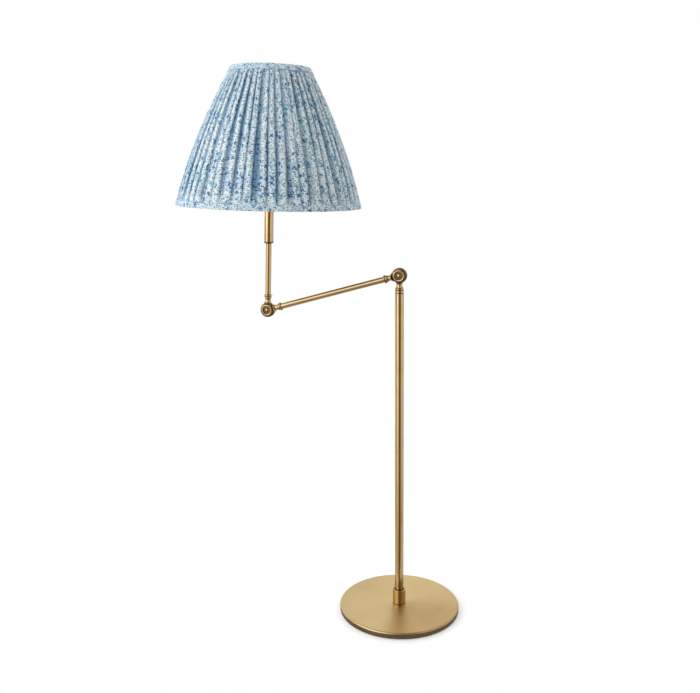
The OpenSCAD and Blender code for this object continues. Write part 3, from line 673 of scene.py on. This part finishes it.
def finishMesh(work, name, place, material, body="stem"):
    work.transform(place)
    mesh = bpy.data.meshes.new(name)
    work.to_mesh(mesh)
    work.free()
    mesh.shade_smooth()
    mesh.materials.append(material)
    piece = bpy.data.objects.new(name, mesh)
    scene.collection.objects.link(piece)
    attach(piece, body)
    return piece


def spinOutline(outline, steps):
    work = bmesh.new()
    verts = [work.verts.new((x, 0, z)) for x, z in outline]
    edges = [work.edges.new(pair) for pair in zip(verts, verts[1:])]
    bmesh.ops.spin(work, geom=verts + edges, cent=(0, 0, 0), axis=(0, 0, 1), angle=2 * pi, steps=steps,
                   use_merge=True)
    return work


def pushOut(vert, distance):
    angle = atan2(vert.co.y, vert.co.x)
    vert.co.x += cos(angle) * distance
    vert.co.y += sin(angle) * distance


def cornerAngles(face):
    # each corner's angle round z, kept within half a turn of the face's own, so that no face wraps round
    middle = face.calc_center_median()
    base = atan2(middle.y, middle.x)
    for loop in face.loops:
        co = loop.vert.co
        angle = atan2(co.y, co.x)
        if angle - base < -pi:
            angle += 2 * pi
        elif angle - base > pi:
            angle -= 2 * pi
        yield loop, angle


def joinAndTurn(work, reach):
    bmesh.ops.remove_doubles(work, verts=work.verts, dist=reach)
    bmesh.ops.recalc_face_normals(work, faces=work.faces)


def stiffen(piece, thickness):
    solid = piece.modifiers.new("thickness", "SOLIDIFY")
    solid.thickness = thickness
    solid.offset = -1.0  # the cloth's thickness lies behind the mesh


pleatSizes = {
    "count": 52,
    "rows": 34,
    "rimGap": 0.0004,  # the cloth's edges stop short of the rims
    "inside": 0.0001,  # the crests lie this far inside the side's arc where the rims hold them
    "crestOut": 0.0010,  # how far the crests swell out where they are free
    "depth": 0.0042,
    "stray": 0.14,  # uneven width, as a share of a pleat
    "drift": 0.05,  # how far a fold wanders on its way up
    "tuckFoot": 0.0042,  # how far a pleat turns under at the foot
    "tuckHead": 0.0030,
    "puff": 0.0004,
    "heldFlat": 0.035,  # share of the height that each rim holds flat
    "easeOut": 0.12,
    "depthHeld": 0.35,  # share of the depth and shadow that stays at the rims
    "thickness": 0.0004,
    "fullness": 1.3,  # the cut cloth's length for the rim's
    "upStretch": 1.07,  # the bowed side's length for the height
    "cutHeight": 0.318,
}

# one pleat, from right to left as seen from outside: turn, depth and shadow as shares of a pleat's own
pleatOutline = [
    (0.000, 1.00, 1.00), (0.035, 0.84, 1.00), (0.075, 0.60, 0.92), (0.12, 0.36, 0.70), (0.18, 0.16, 0.38),
    (0.26, 0.04, 0.10), (0.36, 0.00, 0.00), (0.46, 0.02, 0.00), (0.56, 0.08, 0.03), (0.65, 0.18, 0.14),
    (0.73, 0.32, 0.36), (0.80, 0.48, 0.62), (0.86, 0.66, 0.85), (0.92, 0.84, 1.00), ("tuck", 0.97, 1.00),
]


def strayOf(turn, pleat, pleats):
    # past the fold the cloth belongs to the next pleat, so it takes up that one's stray
    here = pleats["stray"] * sin(radians(137.5 * pleat))
    after = pleats["stray"] * sin(radians(137.5 * ((pleat + 1) % pleats["count"])))
    share = min(1.0, max(0.0, (turn - 0.85) / 0.15))
    return here + (after - here) * share


def buildPleats(shade, pleats):
    points = len(pleatOutline)
    count, rimGap = pleats["count"], pleats["rimGap"]
    work = bmesh.new()
    uvLayer = work.loops.layers.uv.new("cloth")
    bmesh.ops.create_grid(work, x_segments=count * points, y_segments=pleats["rows"], size=0.5, calc_uvs=True)
    foldShadeLayer = work.verts.layers.float.new("tuck")
    for vert in work.verts:
        column = round((vert.co.x + 0.5) * count * points)
        share = vert.co.y + 0.5
        pleat, step = divmod(column, points)
        pleat %= count
        turn, depth, shadow = pleatOutline[step]
        up = rimGap + share * (shade["height"] - 2 * rimGap)
        width = 2 * pi * sideRadius(up) / count
        tuck = (pleats["tuckFoot"] + (pleats["tuckHead"] - pleats["tuckFoot"]) * share) / width
        if turn == "tuck":
            turn = 0.98 + 0.25 * tuck * (1 + 0.4 * sin(2.4 * pleat))
        toRim = min(1, max(0, min(share, 1 - share) - pleats["heldFlat"]) / pleats["easeOut"])
        free = toRim * (2 - toRim)  # the rims hold the pleats flat
        opened = pleats["depthHeld"] + (1 - pleats["depthHeld"]) * free
        drift = pleats["drift"] * sin(2.2 * share * pi + 1.7 * pleat) * sin(pi * share)
        angle = -2 * pi / count * (pleat + turn + strayOf(turn, pleat, pleats) + drift)
        puff = pleats["puff"] * sin(5.1 * share + 0.9 * pleat) * (1 - depth)
        crest = sideRadius(up) + free * (pleats["crestOut"] + puff) - pleats["inside"]
        radius = crest - depth * opened * pleats["depth"]
        vert.co = (radius * cos(angle), radius * sin(angle), up)
        # painted shade in the folds, stored on each vertex
        vert[foldShadeLayer] = shadow * opened * (0.78 + 0.22 * sin(5.7 * pleat + 4 * share))
    clothWidth = 2 * pi * shade["footRadius"] * pleats["fullness"]
    for face in work.faces:
        for loop in face.loops:
            across, along = loop[uvLayer].uv
            loop[uvLayer].uv = (across * clothWidth, along * shade["height"] * pleats["upStretch"])
    joinAndTurn(work, 0.00001)
    return work


pleated = finishMesh(buildPleats(shadeSizes, pleatSizes), "pleated_cloth", shadePlace, pleatedPrintCloth)
stiffen(pleated, pleatSizes["thickness"])
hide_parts("shade_fabric")

bandSizes = {
    "rows": 6,
    "segments": 156,
    "proud": 0.0009,  # outside the side's arc
    "ripple": 0.00025,
    "ripples": pleatSizes["count"],
    # the turning over the rim: out from the rim's edge, and past the rim
    "turning": [(0.0007, 0.00005), (0.0002, 0.0004), (-0.0012, 0.0005), (-0.0045, 0.0005)],
    "turningEnd": 0.0004,
    "printShift": 0.5,  # sets the two bands' print apart from the pleats' and each other's
    "cutHeight": 0.0205,
    "thickness": 0.0005,
}


def buildBand(shade, band, rimAt, way):
    # the outline runs along the outside to the rim, round its edge and in to the lining
    outline = []
    for row in range(band["rows"] + 1):
        up = rimAt + way * (shade["band"] - row * (shade["band"] - 0.0008) / band["rows"])
        outline.append((sideRadius(up) + band["proud"], up))
    edge = sideRadius(rimAt)
    outline += [(edge + out, rimAt - way * past) for out, past in band["turning"]]
    outline.append((edge - shade["liningIn"], rimAt - way * band["turningEnd"]))
    work = spinOutline(outline, band["segments"])
    uvLayer = work.loops.layers.uv.new("cloth")
    for vert in work.verts:
        angle = atan2(vert.co.y, vert.co.x)
        loose = min(1, abs(vert.co.z - rimAt) / shade["band"] * 2)
        grain = noise.noise(Vector((5 * angle, vert.co.z * 300, way)))
        wave = sin(angle * band["ripples"] + 2 * sin(3 * angle))
        pushOut(vert, band["ripple"] * loose * (wave + grain))
    for face in work.faces:
        for loop, angle in cornerAngles(face):
            co = loop.vert.co
            radius = sqrt(co.x ** 2 + co.y ** 2)
            loop[uvLayer].uv = (angle * edge, way * band["printShift"] + co.z + (edge - radius))
    bmesh.ops.recalc_face_normals(work, faces=work.faces)
    return work


for name, node, rimAt, way, rim in (
        ("foot_band", "shade_bottom_band", 0.0, 1, "shade_bottom_ring"),
        ("head_band", "shade_top_band", shadeSizes["height"], -1, "shade_top_ring")):
    work = buildBand(shadeSizes, bandSizes, rimAt, way)
    band = finishMesh(work, name, shadePlace, bandPrintCloth)
    bandRound = 2 * pi * sideRadius(rimAt)
    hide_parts(node)
    stiffen(band, bandSizes["thickness"])
print("rim bands bound")

liningSizes = {
    "segments": 160,
    "rows": 24,
    "struts": 8,
    "slack": 0.0006,  # how far the cloth draws in between the struts
    "crumple": 0.00015,
    "thickness": 0.0004,
    "footGap": 0.0006,
    "headGap": 0.0012,
    "uvRadius": 0.15,  # the side's radius that the weave is laid out to
    "upStretch": 1.07,
    "cutHeight": 0.316,
}


def buildLining(shade, lining):
    low, high = lining["footGap"], shade["height"] - lining["headGap"]
    outline = []
    for row in range(lining["rows"] + 1):
        up = low + (high - low) * row / lining["rows"]
        outline.append((sideRadius(up) - shade["liningIn"], up))
    work = spinOutline(outline, lining["segments"])
    uvLayer = work.loops.layers.uv.new("cloth")
    for vert in work.verts:
        angle = atan2(vert.co.y, vert.co.x)
        free = sin(pi * vert.co.z / shade["height"])
        between = 0.5 - 0.5 * cos(lining["struts"] * angle - pi)
        grain = noise.noise(Vector((9 * angle, 20 * vert.co.z, 0.3)))
        pushOut(vert, -free * (lining["slack"] * between + lining["crumple"] * (1 + grain)))
    for face in work.faces:
        for loop, angle in cornerAngles(face):
            loop[uvLayer].uv = (angle * lining["uvRadius"], loop.vert.co.z * lining["upStretch"])
    bmesh.ops.recalc_face_normals(work, faces=work.faces)
    return work


lining = finishMesh(buildLining(shadeSizes, liningSizes), "lining_cloth", shadePlace, ivoryLiningCloth)
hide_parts("shade_lining")
stiffen(lining, liningSizes["thickness"])

ringNutSizes = {
    "at": 0.3039,  # up the stem from the elbow
    "inner": 0.01915,
    "wall": 0.0020,
    "brim": 0.0036,
    "brimHeight": 0.0020,
    "height": 0.0080,
    "soft": 0.0004,  # bevel on each edge
    "ribs": 40,
    "ribSteps": 6,
    "ribDepth": 0.0005,
}


def buildRingNut(nut):
    inner, wall, brim = nut["inner"], nut["inner"] + nut["wall"], nut["inner"] + nut["brim"]
    low, top, soft = nut["brimHeight"], nut["height"], nut["soft"]
    outline = [
        (inner, soft), (inner + soft, 0), (brim - soft, 0), (brim, soft), (brim, low - soft),
        (brim - soft, low), (wall + 0.0001, low), (wall, low + soft), (wall, top - soft),
        (wall - soft, top), (inner + soft, top), (inner, top - soft), (inner, soft)]
    work = spinOutline(outline, nut["ribs"] * nut["ribSteps"])
    for vert in work.verts:
        if sqrt(vert.co.x ** 2 + vert.co.y ** 2) > wall - 0.0001:
            angle = atan2(vert.co.y, vert.co.x)
            pushOut(vert, -nut["ribDepth"] * (0.5 - 0.5 * cos(nut["ribs"] * angle)) ** 2)
    joinAndTurn(work, 0.000005)
    return work


ringNutPlace = stemPlace @ Matrix.Translation((0, 0, ringNutSizes["at"]))
ringNut = finishMesh(buildRingNut(ringNutSizes), "ribbed_ring_nut", ringNutPlace, ivoryBakelite)
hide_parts("shade_ring_nut")

bulbCapSizes = {
    "at": 0.2912,  # up the stem from the elbow
    "radius": 0.0130,
    "height": 0.0250,
    "button": 0.0048,
    "pitch": 0.0036,
    "threadDepth": 0.0010,
    "threadFrom": 0.0064,
    "rows": 52,
    "segments": 72,
}


def buildBulbCap(cap):
    radius, top, low = cap["radius"], cap["height"], cap["threadFrom"]
    outline = [(0, 0), (0.0030, 0), (0.0042, 0.0004), (cap["button"], 0.0016), (0.0088, 0.0026),
               (0.0116, 0.0044), (0.0126, 0.0058)]
    outline += [(radius, low + (top - 0.001 - low) * row / cap["rows"]) for row in range(cap["rows"] + 1)]
    outline += [(radius - 0.0004, top - 0.0004), (radius - 0.0008, top)]
    work = spinOutline(outline, cap["segments"])
    start, stop = low - 0.0002, top - 0.0009
    for vert in work.verts:
        up = vert.co.z
        if start < up < stop:
            angle = atan2(vert.co.y, vert.co.x)
            fade = min(1, (up - start) / 0.003, (stop - up) / 0.002)
            groove = 0.5 - 0.5 * cos(2 * pi * up / cap["pitch"] - angle)
            pushOut(vert, -fade * cap["threadDepth"] * groove)
    joinAndTurn(work, 0.000005)
    return work


bulbCapPlace = stemPlace @ Matrix.Translation((0, 0, bulbCapSizes["at"]))
bulbCap = finishMesh(buildBulbCap(bulbCapSizes), "threaded_bulb_cap", bulbCapPlace, zincSteel)
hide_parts("bulb_cap")
print("ring nut and bulb cap made")

studio = {
    "floorSize": 0.42,  # half its width
    "floorBack": 0.27,  # how far its middle lies behind the lamp
    "floorDrop": 0.0006,
    "floorGlow": 0.36,
    "floorMirrored": 0.15,  # share of the glow that the brass sees
    "softboxes": {  # place, target, width and height, power
        "keySoftbox": ((-1.6, -1.7, 1.9), (-0.1, 0, 0.7), (3.0, 2.6), 34.0),
        "rearSoftbox": ((0.2, 2.0, 2.0), (-0.1, 0, 0.7), (1.6, 1.6), 5.0),
    },
    "wall": (0.95, 0.95, 0.95),
    # parts of the wall: middle, width and softness in degrees round from +X, the lowest and
    # highest z of the way there, and colour. A later part lies over an earlier one.
    "wallParts": [
        (0.0, 400.0, 1.0, -3.0, -0.42, (0.50, 0.42, 0.32)),
        (-64.0, 50.0, 6.0, -0.8, 0.75, (0.19, 0.105, 0.010)),
        (-126.0, 18.0, 6.0, -0.32, 0.1, (1.55, 1.52, 1.47)),
        (-126.0, 18.0, 6.0, -0.17, 0.1, (2.3, 2.45, 2.9)),
        (-160.0, 36.0, 10.0, -0.8, 0.8, (0.60, 0.60, 0.60)),
        (75.0, 90.0, 15.0, -0.8, 0.05, (0.68, 0.70, 0.71)),
        (0.0, 400.0, 1.0, 0.8, 2.0, (0.40, 0.40, 0.40)),
    ],
}


def addFloor(look):
    work = bmesh.new()
    bmesh.ops.create_grid(work, x_segments=1, y_segments=1, size=look["floorSize"])
    work.transform(Matrix.Translation((0, look["floorBack"], -look["floorDrop"])))
    mesh = bpy.data.meshes.new("paleFloor")
    work.to_mesh(mesh)
    work.free()
    material, tree, shader = newMaterial("paleFloorPaper", (0.86, 0.86, 0.86), 0.9)
    path = addNode(tree, "ShaderNodeLightPath").outputs
    seen = calc(tree, "MAXIMUM", path["Is Camera Ray"], path["Is Transmission Ray"])
    mirrored = calc(tree, "MULTIPLY", path["Is Glossy Ray"], look["floorMirrored"])
    glow = calc(tree, "MULTIPLY", calc(tree, "MAXIMUM", seen, mirrored), look["floorGlow"])
    shader.inputs["Emission Color"].default_value = (1, 1, 1, 1)
    tree.links.new(glow, shader.inputs["Emission Strength"])
    mesh.materials.append(material)
    floor = bpy.data.objects.new("paleFloor", mesh)
    scene.collection.objects.link(floor)


def addSoftbox(name, place, target, size, power):
    data = bpy.data.lights.new(name, "AREA")
    data.shape = "RECTANGLE"
    data.size, data.size_y = size
    data.energy = power
    light = bpy.data.objects.new(name, data)
    toward = Vector(target) - Vector(place)
    light.matrix_world = Matrix.Translation(place) @ toward.to_track_quat("-Z", "Y").to_matrix().to_4x4()
    scene.collection.objects.link(light)


def setWorld(look):
    # the camera sees plain white, and the lamp sees a pale wall with darker, dimmer and brighter parts
    world = bpy.data.worlds.new("studioWorld")
    world.use_nodes = True
    scene.world = world
    tree = world.node_tree
    background = tree.nodes["Background"]
    way = addNode(tree, "ShaderNodeTexCoord").outputs["Generated"]
    axes = addNode(tree, "ShaderNodeSeparateXYZ", Vector=way)
    azimuth = calc(tree, "ARCTAN2", axes.outputs[1], axes.outputs[0])
    wall = (*look["wall"], 1)
    for middle, width, soft, low, high, colour in look["wallParts"]:
        across = sectorMask(tree, azimuth, middle, width, soft)
        under = stepUp(tree, axes.outputs[2], high + 0.15, high - 0.05)
        above = stepUp(tree, axes.outputs[2], low - 0.15, low + 0.05)
        mask = calc(tree, "MULTIPLY", across, calc(tree, "MULTIPLY", under, above))
        wall = blendColour(tree, mask, wall, (*colour, 1))
    seen = addNode(tree, "ShaderNodeLightPath").outputs["Is Camera Ray"]
    tree.links.new(blendColour(tree, seen, wall, (1, 1, 1, 1)), background.inputs["Color"])


addFloor(studio)
for name, (place, target, size, power) in studio["softboxes"].items():
    addSoftbox(name, place, target, size, power)
setWorld(studio)
scene.view_settings.view_transform = "Standard"
print("studio lit")
